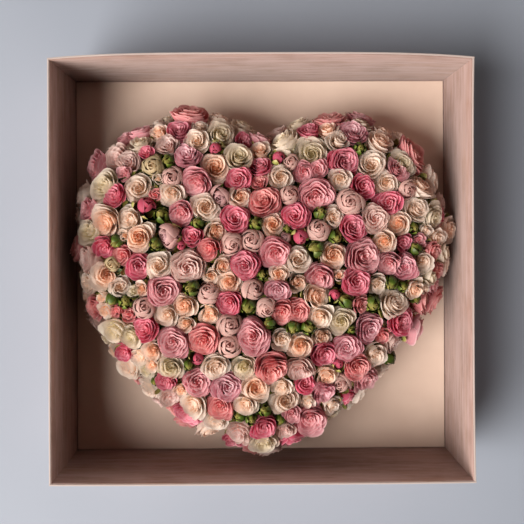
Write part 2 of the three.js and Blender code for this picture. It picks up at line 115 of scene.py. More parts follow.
# The planting plan: for each variety, every rose as (x, y, diameter), seen from SIGHT_POINT
PLAN = {
    "deep_pink": [
        (-98, 167, 29), (-21, 154, 21), (-136, 139, 17), (-27, 108, 30), (-1, 123, 26), (-172, 89, 27),
        (-32, 60, 34), (-81, 41, 21), (-187, 30, 24), (-146, 7, 27), (-21, 6, 36), (54, 164, 24),
        (95, 128, 40), (118, 98, 26), (150, 80, 29), (212, 66, 19), (39, 64, 32), (105, 50, 31),
        (165, 32, 17), (-39, -36, 31), (-137, -68, 29), (-163, -94, 20), (-115, -130, 24),
        (-90, -168, 33), (-35, -200, 29), (0, -183, 29), (110, -13, 33), (161, -61, 33), (71, -97, 30),
        (49, -133, 21), (101, -151, 17), (33, -197, 26),
    ],
    "salmon": [
        (-83, 183, 40), (-2, 103, 19), (-125, 90, 12), (4, 81, 39), (-62, 27, 24), (-163, 20, 24),
        (78, 177, 33), (176, 137, 42), (201, 23, 19), (208, -2, 19), (-200, -43, 25), (-174, -47, 15),
        (-156, -50, 15), (-69, -81, 39), (-51, -160, 31), (22, -47, 31), (42, -47, 29), (115, -39, 19),
        (190, -39, 26), (142, -77, 17), (9, -115, 40), (111, -113, 31),
    ],
    "rose": [
        (-142, 164, 29), (-161, 156, 22), (-2, 156, 26), (-161, 116, 17), (-76, 106, 36), (-94, 69, 26),
        (-117, -23, 42), (160, 119, 29), (49, 117, 26), (66, 119, 22), (63, 89, 42), (186, 35, 14),
        (118, 16, 44), (16, 23, 38), (149, 9, 26), (-105, -84, 38), (-11, -77, 40), (-77, -130, 33),
        (68, -6, 33), (122, -128, 26), (56, -174, 33), (34, -168, 19),
    ],
    "mauve": [
        (-87, 135, 32), (108, 163, 33), (167, 4, 29), (-43, -137, 36), (18, -22, 29), (125, -67, 33),
        (98, -92, 31), (71, -144, 29),
    ],
    "blush": [
        (-110, 149, 24), (-171, 136, 29), (-157, 128, 31), (-88, 5, 38), (132, 60, 29),
        (-110, -146, 24), (-29, -192, 26), (156, -87, 24), (44, -115, 31), (26, -188, 19),
    ],
    "peach": [
        (-122, 165, 21), (-55, 177, 12), (-55, 121, 36), (-2, 142, 24), (-184, 60, 36), (-26, 87, 24),
        (-55, 47, 24), (-145, 40, 36), (-161, 42, 12), (-47, 6, 21), (-187, -5, 31), (-142, -21, 17),
        (-39, -13, 29), (77, 167, 24), (144, 164, 24), (139, 152, 30), (188, 97, 31), (161, 55, 26),
        (13, 54, 26), (144, 34, 25), (82, 19, 31), (-91, -40, 26), (-62, -50, 22), (-186, -46, 20),
        (-130, -94, 25), (-90, -62, 17), (-131, -111, 15), (-9, -138, 31), (-97, -140, 15),
        (19, -4, 20), (41, -14, 20), (179, -23, 21), (62, -30, 32), (44, -88, 29), (69, -77, 21),
        (74, -123, 26),
    ],
    "cream": [
        (-123, 176, 17), (-73, 170, 20), (-76, 154, 30), (-145, 97, 33), (-106, 92, 31), (-67, 75, 36),
        (-154, 61, 31), (-122, 6, 30), (-168, -19, 24), (89, 153, 29), (128, 123, 33), (21, 110, 29),
        (92, 108, 24), (147, 103, 30), (182, 71, 31), (83, 63, 24), (42, 13, 29), (190, 11, 26),
        (-112, -51, 26), (-146, -102, 20), (-56, -111, 31), (-83, -159, 36), (-20, -157, 31),
        (-57, -178, 26), (135, -16, 21), (152, -40, 38), (67, -54, 31), (22, -81, 21),
        (132, -99, 24), (23, -137, 24), (27, -154, 36), (53, -154, 17), (80, -158, 21), (102, -158, 17),
    ],
    "ivory": [
        (-113, 181, 17), (-49, 161, 32), (-23, 170, 29), (-144, 151, 29), (-27, 133, 38),
        (-185, 101, 40), (-206, 47, 31), (-150, -23, 14), (-213, -6, 20), (41, 172, 31), (26, 151, 32),
        (116, 173, 24), (57, 140, 38), (166, 126, 31), (201, 64, 29), (214, 20, 21), (198, -9, 19),
        (-174, -69, 29), (-156, -78, 29), (-185, -80, 18), (-109, -113, 33), (-139, -119, 17),
        (-22, -113, 24), (0, -201, 29), (94, -60, 31), (82, -170, 24),
    ],
    "blush_cup": [
        (-105, 109, 24), (-36, 32, 26), (-12, 36, 24), (34, 128, 17), (171, 94, 19), (32, 88, 21),
        (104, 80, 29), (67, 47, 24), (-63, -26, 24), (-12, -22, 24), (-139, -43, 24), (-39, -64, 26),
        (5, -43, 24), (-39, -88, 24), (94, -135, 18),
    ],
    "mauve_cup": [(-49, 88, 21), (-108, 41, 24), (27, 40, 10)],
    "cream_cup": [(-128, 124, 24), (-176, 8, 16)],
    "magenta_bud": [(-53, 145, 15), (-138, 76, 22), (44, 39, 17), (-77, -102, 15), (85, -29, 12)],
    "green_bud": [
        (-110, 130, 16), (-118, 66, 16), (-76, 57, 14), (-171, 35, 17), (-125, 32, 15), (-83, -20, 19),
        (0, -5, 11), (68, 68, 14), (179, 50, 14), (30, 49, 10), (87, 39, 17), (63, 25, 20),
        (181, 25, 14), (-178, -33, 14), (-160, -36, 17), (-16, -42, 19), (-128, -131, 9),
        (-28, -172, 12), (-14, -174, 14), (151, -15, 17), (166, -20, 12), (98, -36, 16),
        (129, -39, 19), (183, -36, 11), (36, -67, 15), (54, -67, 17), (8, -61, 14), (104, -69, 10),
        (151, -105, 19), (2, -164, 13), (22, -178, 12),
    ],
}

# Leaves that show between the roses: (x, y, the way the tip points in degrees, length)
SHOWN_LEAVES = [
    (-151, 112, 200, 24), (-126, 106, 330, 22), (-171, -1, 150, 18), (-62, 62, 40, 15),
    (72, 78, 100, 15), (150, -98, -50, 20), (-100, -100, 215, 14), (196, 84, 20, 16),
]

# The camera, as fitted to the box's corners in the photograph, with its clipping in metres
PHOTO_PIXELS = 524
FOCAL_PIXELS = 785.1
SENSOR_WIDTH = 36
CAMERA_PLACE = (-13.2, 55.1, 1058.0)
CAMERA_SHIFT = (0.010, -0.0729)
CAMERA_TILT = 0.44
CAMERA_ROLL = 0.27
CLIP_START = 0.05
CLIP_END = 20

# The light, in metres and watts: a large soft lamp from the lower left, and a room that is pale low down
KEY_PLACE = (-2.52, -1.48, 2.8)
KEY_TARGET = (0, 0, 0.1)
KEY_SIZE = 3.7
KEY_POWER = 418
KEY_COLOUR = "#FFF6EC"
ROOM_STRENGTH = (2.65, 0.01)
ROOM_TOP = 0.5
ROOM_COLOUR = "#F3E3D7"
FLOOR_REACH = 6
FLOOR_PAINTED_LIGHT_REACH = (0.7, 3.5)
FLOOR_DROP = 0.5

# Colours from dark to light
LINING_COLOURS = ("#785649", "#8D644F", "#9B7F7A")
WRAP_COLOURS = ("#A98880", "#B59488", "#BCA29C")
RUBBED_COLOUR = "#9E9A98"
CARD_COLOURS = ("#D8C2B4", "#E2CEC0")
# The foam's first colour is painted shade, for the pits of its cells
FOAM_COLOURS = ("#16240F", "#233A22", "#3F6238")
BACKING_COLOURS = ("#DADAD2", "#F2F2EC")
# The floor's third colour is painted light, which it pales to far from the box
FLOOR_COLOURS = ("#858E9D", "#8B94A3", "#D8E8F8")
PETAL_SHEEN = "#FFF4EC"
PETAL_VEINS = "#D8A6A0"
GREEN_PATCHES = "#8A6A3A"

# How far apart each pattern's marks are, as a length and how many fit in it, and a streak's length and
# width. The paper's nap, the foam's cells and the petals' veins are finer than this on the real things,
# and are drawn coarse enough to show.
LINING_STREAK = (500 / 9, 50 / 7)
WRAP_STREAK = (500 / 11, 100 / 7)
TINT_TO_STREAK = 20 / 9
PAPER_CLOUD = 500 / 13
NAP = 10 / 9
CARD_CLOUD = 1000 / 9
FOAM_CELL = 10 / 7
FOAM_CRUMB = 100 / 9
BEAD = 10 / 3
MOTTLE = 25 / 3
VEIN = 5 / 7
GREEN_PATCH = 25 / 4
FLOOR_CLOUD = 500

# Petals. Places on a petal are in the bloom's radii. Lifts, the hip, the gap and the least room are in
# millimetres
RING_PLACES = (0, 0.5, 1)
GOLDEN_ANGLE = math.radians(137.5)
FULL_RADIUS = 15
FULL_COUNTS = 1.5
LEAST_PETALS = 4
SPREAD = (1.1, 1.5)
SPREAD_PER_GAP = 1.28
OPEN_GAPS = (1, 1)
SIDE_CLOSES = 0.38
LIFT_SPREAD = 1.5
LIFT_PER_RADIUS = 0.2
LIFT_LIMIT = 3.2
HIP_RADIUS = 2.4
INNER_PETALS = 0.45
HIDDEN_DEPTH = 0.6
ROOT_TO_LIP = 0.7
BASE_WIDTH = 0.45
SIDE_ROUNDNESS = 2.6
CURL_START = 0.62
CURL_POWER = 1.5
CURL_DROP = 0.75
RUFFLE_WAVES = 4.5
RUFFLE_RISE = 0.7
CROWD_REACH = 1.35
CROWD_SOFTNESS = 12
PETAL_GAP = -0.6
LEAST_ROOM = 1
FREE_SHARE = 0.8
ALONG_Y = 0.9

# The rolled petal that closes a bloom's centre
CORE_TOP = -0.26
CORE_OVERLAP = 0.06
CORE_PETAL = {
    "span": 2 * math.pi, "taper": 0, "root": 0, "belly": 0.36, "lip": 0.72, "waist": 0.3, "top": -0.85,
    "roll": 0, "point": 0, "cut": 0, "ruffle": 0.02, "ring": 0.12, "packed": 1,
}

# How unevenly petals and sepals grow: factors between two limits, and spreads in radians, radii and tones
PETAL_SCATTER = SimpleNamespace(
    count=(0.9, 1.1), opening=(0.92, 1.08), turn=0.12, span=(0.88, 1.12), lip=(0.96, 1.04),
    roll=(0.6, 1.4), cut=(0.8, 1.2), ruffle=(0.5, 1.5), tone=0.8)
SEPAL_SCATTER = SimpleNamespace(
    turn=0.08, span=(0.9, 1.1), lip=(0.9, 1.1), top=0.06, roll=(0.4, 1.6), tone=0.5)
SHARED_TONE = 0.6

# Crumpling: how many lobes, and waves as (how close, share of the depth)
LOBE_COUNTS = (3, 6)
LOBE_TWIST = 1.5
CRUMPLE_WAVES = ((3.2, 1), (7.5, 0.5), (14, 0.2))
CRUMPLE_LEAN = 0.6
CRUMPLE_SLOPE = 0.7
CRUMPLE_RISE = 0.5

# How petals take their colours: where the heart's tint has gone, and how deep the bases are. The deep colour
# at the bases and on the packed core is partly the petals' own and partly painted shade of the crevices
# between petals
FADE_END = 0.74
HUE_SPREAD = 0.05
TONE_SPREAD = 0.06
TONE_LIMITS = (0.6, 1.4)
PACKED_DEEP = 0.7
BASE_FACE = 0.42
BASE_FACE_GAIN = 0.38

# Greens. A leaf's width and droop are shares of its length, and its fold of its width
SEPALS = 5
SEPAL_RUFFLE = 0.01
SEPAL_OVERLAP = 0.02
POINTED_WIDTH = 3.1
POINTED_FOOT = 0.12
POINTED_POWER = 0.8
BRANCH_PULL = 14
BRANCH_TOP = 0.96
BRANCH_POINTS = 8
BRANCH_RADII = (1.5, 1.1, 1.0, 1.0, 1.1, 1.6, 2.6)
STEM_LENGTH = 32
STEM_TOP = 4
STEM_POINTS = 7
STEM_RADII = (1.7, 1.9, 2.2, 2.4, 3.0, 2.2, 0.6)
STEM_TONE = -1
LEAVES_PER_SPRAY = 4
LEAF_TURN = 0.2
LEAF_OUT = 0.9
LEAF_UP = 0.45
LEAF_RISE = 8
LEAF_START = 4
LEAF_LENGTHS = (24, 32)
LEAF_WIDTH = 0.3
LEAF_POINT = 0.8
LEAF_TEETH = 7
TOOTH_DEPTH = 0.07
LEAF_FOLD = 0.35
LEAF_DROOP = 0.18
SHOWN_LEAF_UP = 0.25
SHOWN_LEAF_DEPTH = 9
SHOWN_LEAF_TONE = 1.2

# The cells across and along each sheet, how much closer rows stand at its tip, and its share of the bake map
GRIDS = {
    "inner": (6, 5), "outer": (8, 7), "sepal": (4, 4), "bud": (4, 6), "branch": (6, 7), "stem": (8, 6),
    "leaf": (6, 8), "shown_leaf": (6, 10),
}
ROWS_TO_LIP = 1.5
CELL_FILL = 0.92

# What each point of a sheet carries. A petal's tone is in its colours too, and a leaf keeps one for a
# finish that wants it
TRAITS = {
    "along": "FLOAT", "tone": "FLOAT", "deep": "FLOAT_COLOR", "face": "FLOAT_COLOR", "edge": "FLOAT_COLOR",
}

# Seeds, so that every run grows the same roses
SEPAL_SEED = 1000
CRUMPLE_SEED = 2000
LEAN_SEED = 3000
LIFT_SEED = 4000
LEAF_SEED = 40000
LEAF_SEED_STEP = 7

# The kinds of bloom. Values run from a bloom's centre through its middle to its rim, in radii and degrees
KINDS = {
    "rosette": SimpleNamespace(
        count=36, least=0.45, power=0.95, lip=(0.04, 0.54, 0.98), top=(0.0, 0.045, -0.17),
        span=(48, 41, 44), belly=(0.05, 0.46, 0.87), waist=(0.6, 0.63, 0.48), roll=(0.02, 0.04, 0.085),
        point=(0, 0.3, 0.6), cut=(0.14, 0.2, 0.32), ruffle=(0.02, 0.03, 0.035), overlap=0.06,
        unevenness=0.045, crumple=0.034, lobes=0.07, lean=0.2),
    "open_spiral": SimpleNamespace(
        count=28, least=0.45, power=1.0, lip=(0.04, 0.44, 0.98), top=(0.02, 0.06, -0.22),
        span=(64, 56, 50), belly=(0.07, 0.42, 0.85), waist=(0.6, 0.58, 0.44), roll=(0.01, 0.03, 0.14),
        point=(0, 0.4, 0.9), cut=(0.14, 0.2, 0.34), ruffle=(0.01, 0.015, 0.03), overlap=0.08,
        unevenness=0.03, crumple=0.018, lobes=0.035, lean=0.2),
    "cup": SimpleNamespace(
        count=18, least=0.6, power=1.0, lip=(0.03, 0.30, 0.66), top=(0.15, 0.15, -0.06),
        span=(66, 70, 76), belly=(0.25, 0.85, 1.60), waist=(0.6, 0.75, 0.8), roll=(0, 0.02, 0.05),
        point=(0, 0.3, 0.8), cut=(0.2, 0.28, 0.36), ruffle=(0, 0.012, 0.02), overlap=0.09,
        unevenness=0.015, crumple=0.016, lobes=0.03, lean=0.3),
    "half_bud": SimpleNamespace(
        count=8, least=0.7, power=1.0, lip=(0.03, 0.10, 0.28), top=(0.30, 0.30, 0.15),
        span=(80, 78, 74), belly=(0.3, 0.8, 1.5), waist=(0.6, 0.72, 0.76), roll=(0, 0.015, 0.05),
        point=(0, 0.3, 0.6), cut=(0.2, 0.3, 0.36), ruffle=(0, 0.008, 0.012), overlap=0.09,
        unevenness=0.015, crumple=0.01, lobes=0.02, lean=0.4),
    "closed_bud": SimpleNamespace(
        count=5, least=0.9, power=1.0, lip=(0.03, 0.06, 0.12), top=(0.34, 0.32, 0.24),
        span=(80, 75, 70), belly=(0.3, 0.7, 1.1), waist=(0.6, 0.7, 0.72), roll=(0, 0.01, 0.02),
        point=(0, 0.3, 0.6), cut=(0.2, 0.3, 0.36), ruffle=(0, 0, 0), overlap=0.09,
        unevenness=0.015, crumple=0.0, lobes=0.0, lean=0.5),
}

# Sepals: a rose's turn back from its hip, a bud's close over it
SEPAL_KINDS = {
    "rosette": SimpleNamespace(span=17, taper=1, belly=1.2, lip=1.14, waist=0.25, top=-0.62, roll=0.1),
    "cup": SimpleNamespace(span=20, taper=1, belly=1.55, lip=1.06, waist=0.4, top=-0.40, roll=0.06),
    "half_bud": SimpleNamespace(span=26, taper=1, belly=1.5, lip=0.85, waist=0.5, top=-0.12, roll=0.05),
    "closed_bud": SimpleNamespace(span=29, taper=0.95, belly=1.35, lip=0.34, waist=0.64, top=0.30, roll=0.13),
}
SEPAL_KINDS["open_spiral"] = SEPAL_KINDS["rosette"]

# Each variety's kind of bloom, how soon the heart's colour gives way to the rim's, and its colours at the
# heart, the rim, the lips and the petals' bases. The lips' colour is partly their own and partly a painted
# highlight, and the bases' colour partly their own and partly painted shade of the crevices between petals
VARIETIES = {
    name: SimpleNamespace(kind=kind, fade=fade, colours=colours)
    for name, kind, fade, *colours in (
        ("deep_pink", "rosette", 0.8, "#FAC2D0", "#DA6888", "#F2D4DE", "#DA3E5E"),
        ("salmon", "rosette", 0.8, "#FACAC6", "#E0959B", "#F0D8D4", "#E8606C"),
        ("rose", "rosette", 0.8, "#FCD4D8", "#DDA1AD", "#F0DCE0", "#EA7E8A"),
        ("mauve", "rosette", 0.8, "#FDE8EE", "#D897A7", "#EED9E2", "#EC96A8"),
        ("blush", "rosette", 0.7, "#FAECEC", "#D6BDB7", "#F0E4E0", "#F0B2A4"),
        ("peach", "open_spiral", 3.0, "#FBDFCB", "#F6EBE2", "#F6EEE8", "#FFCCA0"),
        ("cream", "open_spiral", 1.8, "#FBEEE4", "#EDE5DD", "#F2ECE6", "#FFDEBC"),
        ("ivory", "open_spiral", 1.2, "#EAE1C8", "#E5DDD0", "#EEE7DD", "#E6DAAA"),
        ("blush_cup", "cup", 0.8, "#EEC4C0", "#D5B1AB", "#E8D0C8", "#C4968E"),
        ("mauve_cup", "cup", 0.8, "#D2ADB9", "#C69E9C", "#DCBCB8", "#A6767C"),
        ("cream_cup", "cup", 0.8, "#F0DAB8", "#B8AA84", "#E2D4B8", "#C8AE80"),
        ("magenta_bud", "half_bud", 0.8, "#C0405E", "#CC5876", "#E492A8", "#A02848"),
        ("green_bud", "closed_bud", 0.8, "#AA9A54", "#8C8E40", "#B8B464", "#56641C"),
    )
}

# Stems, sepals, closed buds and leaves: the colours at the base, on the face and at the edge. The dark bases
# are partly painted shade, and the pale edges partly a painted highlight
GREENS = [
    ("#4C5E28", "#5F7432", "#6E7E3A"), ("#64762C", "#8E9450", "#BEAE78"),
    ("#1C2A08", "#3C5210", "#84923A"), ("#263C12", "#445E1C", "#6A7A30"),
]


# The heart's outline and the mound that stands on it

def unit(vector):
    return vector / np.linalg.norm(vector)


def outline_at(part):
    """Points of the closed centripetal Catmull-Rom curve through OUTLINE, for parts from 0 to 1."""
    place = np.atleast_1d(part) * len(OUTLINE)
    index = np.floor(place).astype(int)
    weight = (place - index)[:, None]
    before, start, end, after = (OUTLINE[(index + step) % len(OUTLINE)] for step in (-1, 0, 1, 2))
    first, middle, last = (
        np.sqrt(np.linalg.norm(b - a, axis=1))[:, None]
        for a, b in ((before, start), (start, end), (end, after)))
    leaving = (start - before) / first - (end - before) / (first + middle) + (end - start) / middle
    arriving = (end - start) / middle - (after - start) / (middle + last) + (after - end) / last
    leaving = leaving * middle
    arriving = arriving * middle
    square = -3 * start + 3 * end - 2 * leaving - arriving
    cube = 2 * start - 2 * end + leaving + arriving
    return start + leaving * weight + square * weight ** 2 + cube * weight ** 3


CURVE_PARTS = np.linspace(0, 1, OUTLINE_STEPS + 1)
CURVE_STEPS = np.linalg.norm(np.diff(outline_at(CURVE_PARTS), axis=0), axis=1)
CURVE_LENGTHS = np.concatenate([[0], np.cumsum(CURVE_STEPS)])


def part_at_length(share):
    """The curve's own parameter at an even share of its length."""
    return np.interp(np.asarray(share) * CURVE_LENGTHS[-1], CURVE_LENGTHS, CURVE_PARTS)


OUTLINE_POINTS = outline_at(part_at_length(np.arange(OUTLINE_STEPS) / OUTLINE_STEPS))
OUTLINE_NEXT = np.roll(OUTLINE_POINTS, -1, axis=0)


def mound_at(places):
    """Depth inside the outline, height and outward normal of the mound, at places (x, y)."""
    here = np.atleast_2d(places)[:, None, :2]
    run = OUTLINE_NEXT - OUTLINE_POINTS
    along = ((here - OUTLINE_POINTS) * run).sum(axis=2) / (run ** 2).sum(axis=1)
    away = here - OUTLINE_POINTS - np.clip(along, 0, 1)[..., None] * run
    distance = np.linalg.norm(away, axis=2)
    nearest = distance.argmin(axis=1)
    rows = np.arange(len(here))
    y = here[:, :, 1]
    spans = (OUTLINE_POINTS[:, 1] > y) != (OUTLINE_NEXT[:, 1] > y)
    rise = np.where(run[:, 1] == 0, 1, run[:, 1])
    crossing = OUTLINE_POINTS[:, 0] + (y - OUTLINE_POINTS[:, 1]) / rise * run[:, 0]
    inside = (spans & (here[:, :, 0] < crossing)).sum(axis=1) % 2 == 1
    side = np.where(inside, 1, -1)
    depth = distance[rows, nearest] * side
    inward = away[rows, nearest]
    inward = inward / np.maximum(np.linalg.norm(inward, axis=1), TINY)[:, None] * side[:, None]
    cos = 1 - np.clip(depth, 0, SHOULDER_WIDTH) / SHOULDER_WIDTH
    sin = np.sqrt(1 - cos ** 2)
    lift = SHOULDER_HEIGHT - EDGE_HEIGHT
    crown = CROWN * (1 - np.exp(-np.maximum(0, depth - SHOULDER_WIDTH) / CROWN_REACH))
    normal = np.column_stack([-inward * (cos / SHOULDER_WIDTH)[:, None], sin / lift])
    normal = normal / np.linalg.norm(normal, axis=1)[:, None]
    return depth, EDGE_HEIGHT + lift * sin + crown, normal


def place_on_mound(x, y):
    """Where the line of sight through a planned place meets the mound, and the mound's normal there."""
    heights = np.arange(BOX_HEIGHT, EDGE_HEIGHT - 1, -1)
    sight = np.array([x, y, BOX_HEIGHT]) - SIGHT_POINT
    shares = (SIGHT_POINT[2] - heights) / (SIGHT_POINT[2] - BOX_HEIGHT)
    points = SIGHT_POINT + shares[:, None] * sight
    depth, height, normal = mound_at(points)
    met = (depth > 0) & (height >= heights)
    first = met[:-1].argmax() if met[:-1].any() else len(heights) - 1
    return points[first], normal[first]


# The blooms

def make_bloom(name, radius, face, axis):
    variety = VARIETIES[name]
    heart = face - axis * HEART_DEPTH * radius
    return SimpleNamespace(
        variety=variety, kind=KINDS[variety.kind], radius=radius, face=face, axis=axis, heart=heart)


def planned_blooms():
    return [
        make_bloom(variety, diameter / 2, *place_on_mound(x, y))
        for variety, places in PLAN.items() for x, y, diameter in places
    ]


def low_row_blooms():
    count = round(CURVE_LENGTHS[-1] / LOW_ROW_SPACING)
    blooms = []
    for i in range(count):
        part = part_at_length(i / count)
        behind, ahead = outline_at(np.clip([part - TANGENT_STEP, part + TANGENT_STEP], 0, 1))
        tangent = unit(ahead - behind)
        axis = np.array([tangent[1], -tangent[0], 0])
        face = np.append(outline_at(part)[0], 0) - LOW_ROW_INSET * axis
        face[2] = LOW_ROW_HEIGHT
        diameter = LOW_ROW_DIAMETERS[i % len(LOW_ROW_DIAMETERS)]
        variety = LOW_ROW_VARIETIES[i % len(LOW_ROW_VARIETIES)]
        blooms.append(make_bloom(variety, diameter / 2, face, axis))
    return blooms


def filler_blooms(blooms):
    """Every free place on the mound, widest first, gets a bud until only narrow gaps are left."""
    steps = np.arange(-BOX_SIDE / 2, BOX_SIDE / 2, FILL_STEP)
    places = np.array([(x, y) for x in steps for y in steps])
    depth, height, axes = mound_at(places)
    free = depth > FILL_EDGE
    faces = np.column_stack([places, height])[free]
    axes = axes[free]
    limits = np.where((depth[free] < FILL_SIDE_DEPTH)[:, None], FILL_SIDE, FILL_TOP)
    gaps = np.full(len(faces), np.inf)
    for bloom in blooms:
        gaps = np.minimum(gaps, np.linalg.norm(faces - bloom.face, axis=1) - bloom.radius)
    fillers = []
    while (gaps > limits[:, 0]).any():
        best = np.where(gaps > limits[:, 0], gaps, -np.inf).argmax()
        radius = min(gaps[best], limits[best, 1])
        varieties = FILL_ROSES if radius > FILL_TOP[1] else FILL_BUDS
        variety = varieties[len(fillers) % len(varieties)]
        fillers.append(make_bloom(variety, radius, faces[best], axes[best]))
        gaps = np.minimum(gaps, np.linalg.norm(faces - faces[best], axis=1) - radius)
    return fillers


def settle_blooms(blooms):
    """Finds each bloom's calyx and its crowding neighbours, as planes that its petals stay behind."""
    hearts = np.array([bloom.heart for bloom in blooms])
    radii = np.array([bloom.radius for bloom in blooms])
    for i, bloom in enumerate(blooms):
        away = hearts - bloom.heart
        distance = np.linalg.norm(away, axis=1)
        distance[i] = np.inf
        share = radii[i] / (radii + radii[i])
        crowding = radii + radii[i] > distance - BLOOM_GAP
        solid_radius = ((distance - BLOOM_GAP) * share)[crowding].min(initial=radii[i])
        below = CALYX_DEPTH + CALYX_DEPTH_PER_RADIUS * solid_radius
        bloom.calyx = bloom.face - bloom.axis * below
        bloom.foot = -below / bloom.radius
        bloom.hip = HIP_RADIUS / bloom.radius
        near = distance < CROWD_REACH * (radii + radii[i])
        bloom.crowd_axes = away[near] / distance[near][:, None]
        bloom.crowd_limits = (distance * share)[near] - PETAL_GAP
        gaps = np.append(bloom.crowd_limits / bloom.radius, OPEN_GAPS)
        widest = SPREAD[1] - SIDE_CLOSES * (1 - bloom.axis[2]) ** 2
        bloom.spread = np.clip(SPREAD_PER_GAP * gaps.mean(), SPREAD[0], widest)


def spray_hubs():
    """The places under the mound where main stems branch, on a grid of equal triangles."""
    row_step = SPRAY_SPACING * math.sqrt(0.75)
    rows = math.ceil(BOX_SIDE / 2 / row_step)
    columns = math.ceil(BOX_SIDE / 2 / SPRAY_SPACING)
    places = [
        ((column + row % 2 / 2) * SPRAY_SPACING, row * row_step)
        for row in range(rows, -rows - 1, -1) for column in range(-columns, columns + 1)
    ]
    depth, height, normals = mound_at(places)
    return [
        SimpleNamespace(hub=np.array([x, y, height[i]]) - HUB_DEPTH * normals[i], axis=normals[i], blooms=[])
        for i, (x, y) in enumerate(places) if depth[i] > SPRAY_EDGE
    ]


def planted_sprays():
    """The sprays in the order of the rose_spray nodes, each with the blooms nearest to its hub."""
    blooms = planned_blooms() + low_row_blooms()
    blooms += filler_blooms(blooms)
    settle_blooms(blooms)
    sprays = spray_hubs()
    hubs = np.array([spray.hub for spray in sprays])
    for number, bloom in enumerate(blooms):
        bloom.number = number
        lift = Random(LIFT_SEED + number).gauss(0, LIFT_SPREAD)
        lift += LIFT_PER_RADIUS * (bloom.radius - FULL_RADIUS)
        bloom.lift = min(max(lift, -LIFT_LIMIT), LIFT_LIMIT)
        sprays[np.linalg.norm(hubs - bloom.calyx, axis=1).argmin()].blooms.append(bloom)
    return [spray for spray in sprays if spray.blooms]


# Petals and sepals

def by_ring(values, ring):
    """A value that changes from the bloom's centre through its middle to its rim."""
    return float(np.interp(ring, RING_PLACES, values))


def petals_of(bloom):
    """The petals of a bloom from its centre out, each turned on from the last by the golden angle."""
    rng = Random(bloom.number)
    kind = bloom.kind
    scatter = PETAL_SCATTER
    size = np.clip(bloom.radius / FULL_RADIUS, kind.least, FULL_COUNTS)
    count = max(LEAST_PETALS, round(kind.count * size * rng.uniform(*scatter.count)))
    hand = rng.choice((-1, 1))
    start = rng.uniform(0, 2 * math.pi)
    opening = rng.uniform(*scatter.opening)
    bloom_tone = rng.gauss(0, 1)
    petals = [SimpleNamespace(
        **CORE_PETAL, angle=start, low=CORE_TOP + by_ring(kind.top, 0), phase=start,
        overlap=CORE_OVERLAP * hand, tone=bloom_tone, hue=bloom_tone)]
    for k in range(count):
        ring = (k + 0.5) / count
        lip = by_ring(kind.lip, ring ** (kind.power * opening))
        top = by_ring(kind.top, ring) + rng.gauss(0, kind.unevenness)
        reach = np.clip((ring - INNER_PETALS) / (1 - INNER_PETALS), 0, 1) ** 0.5
        petals.append(SimpleNamespace(
            angle=hand * k * GOLDEN_ANGLE + start + rng.gauss(0, scatter.turn),
            span=math.radians(by_ring(kind.span, ring) * rng.uniform(*scatter.span)),
            taper=0, root=(1 - reach) * lip * ROOT_TO_LIP + reach * bloom.hip,
            belly=by_ring(kind.belly, ring), lip=lip * rng.uniform(*scatter.lip),
            low=(1 - reach) * max(top - HIDDEN_DEPTH, bloom.foot) + reach * bloom.foot,
            waist=by_ring(kind.waist, ring), top=top,
            roll=by_ring(kind.roll, ring) * rng.uniform(*scatter.roll),
            point=by_ring(kind.point, ring), cut=by_ring(kind.cut, ring) * rng.uniform(*scatter.cut),
            ruffle=by_ring(kind.ruffle, ring) * rng.uniform(*scatter.ruffle),
            phase=rng.uniform(0, 2 * math.pi), overlap=hand * kind.overlap, ring=ring,
            tone=SHARED_TONE * bloom_tone + scatter.tone * rng.gauss(0, 1), hue=bloom_tone, packed=0,
        ))
    return petals


def sepals_of(bloom):
    """Five sepals below a rose. On a green bud they close over its petals."""
    rng = Random(SEPAL_SEED + bloom.number)
    kind = SEPAL_KINDS[bloom.variety.kind]
    scatter = SEPAL_SCATTER
    start = rng.uniform(0, 2 * math.pi)
    tone = rng.gauss(0, 1)
    return [
        SimpleNamespace(
            angle=start + k * 2 * math.pi / SEPALS + rng.gauss(0, scatter.turn),
            span=math.radians(kind.span * rng.uniform(*scatter.span)), taper=kind.taper,
            root=bloom.hip, belly=kind.belly, lip=kind.lip * rng.uniform(*scatter.lip),
            low=bloom.foot, waist=kind.waist, top=kind.top + rng.gauss(0, scatter.top),
            roll=kind.roll * rng.uniform(*scatter.roll), point=0, cut=0, ruffle=SEPAL_RUFFLE,
            phase=rng.uniform(0, 2 * math.pi), overlap=SEPAL_OVERLAP,
            tone=SHARED_TONE * tone + scatter.tone * rng.gauss(0, 1),
        )
        for k in range(SEPALS)
    ]


def petal_points(across, along, p):
    """Points of petals round the axis +Z, in units of the bloom's radius, from each petal's own numbers."""
    waist = p.low + p.waist * (p.top - p.low)
    along = along * (1 - p.cut * np.abs(across) ** SIDE_ROUNDNESS)
    early = (1 - along) ** 2
    middle = 2 * along * (1 - along)
    late = along ** 2
    out = early * p.root + middle * p.belly + late * p.lip
    up = early * p.low + middle * waist + late * p.top
    curl = np.clip((along - CURL_START) / (1 - CURL_START), 0, 1) ** CURL_POWER
    out += p.roll * curl * (1 + p.point * (1 - np.abs(across)) ** 2)
    up -= p.roll * CURL_DROP * curl
    wave = p.ruffle * late * np.sin(RUFFLE_WAVES * across + p.phase)
    out = (out + wave) * (1 + p.overlap * across)
    up += RUFFLE_RISE * wave
    round_width = BASE_WIDTH + (1 - BASE_WIDTH) * np.sin(along * math.pi / 2)
    pointed_width = POINTED_WIDTH * (along + POINTED_FOOT) * (1 - along) ** POINTED_POWER
    angle = p.angle + p.span * across * (round_width + p.taper * (pointed_width - round_width))
    return np.column_stack([out * np.cos(angle), out * np.sin(angle), up])


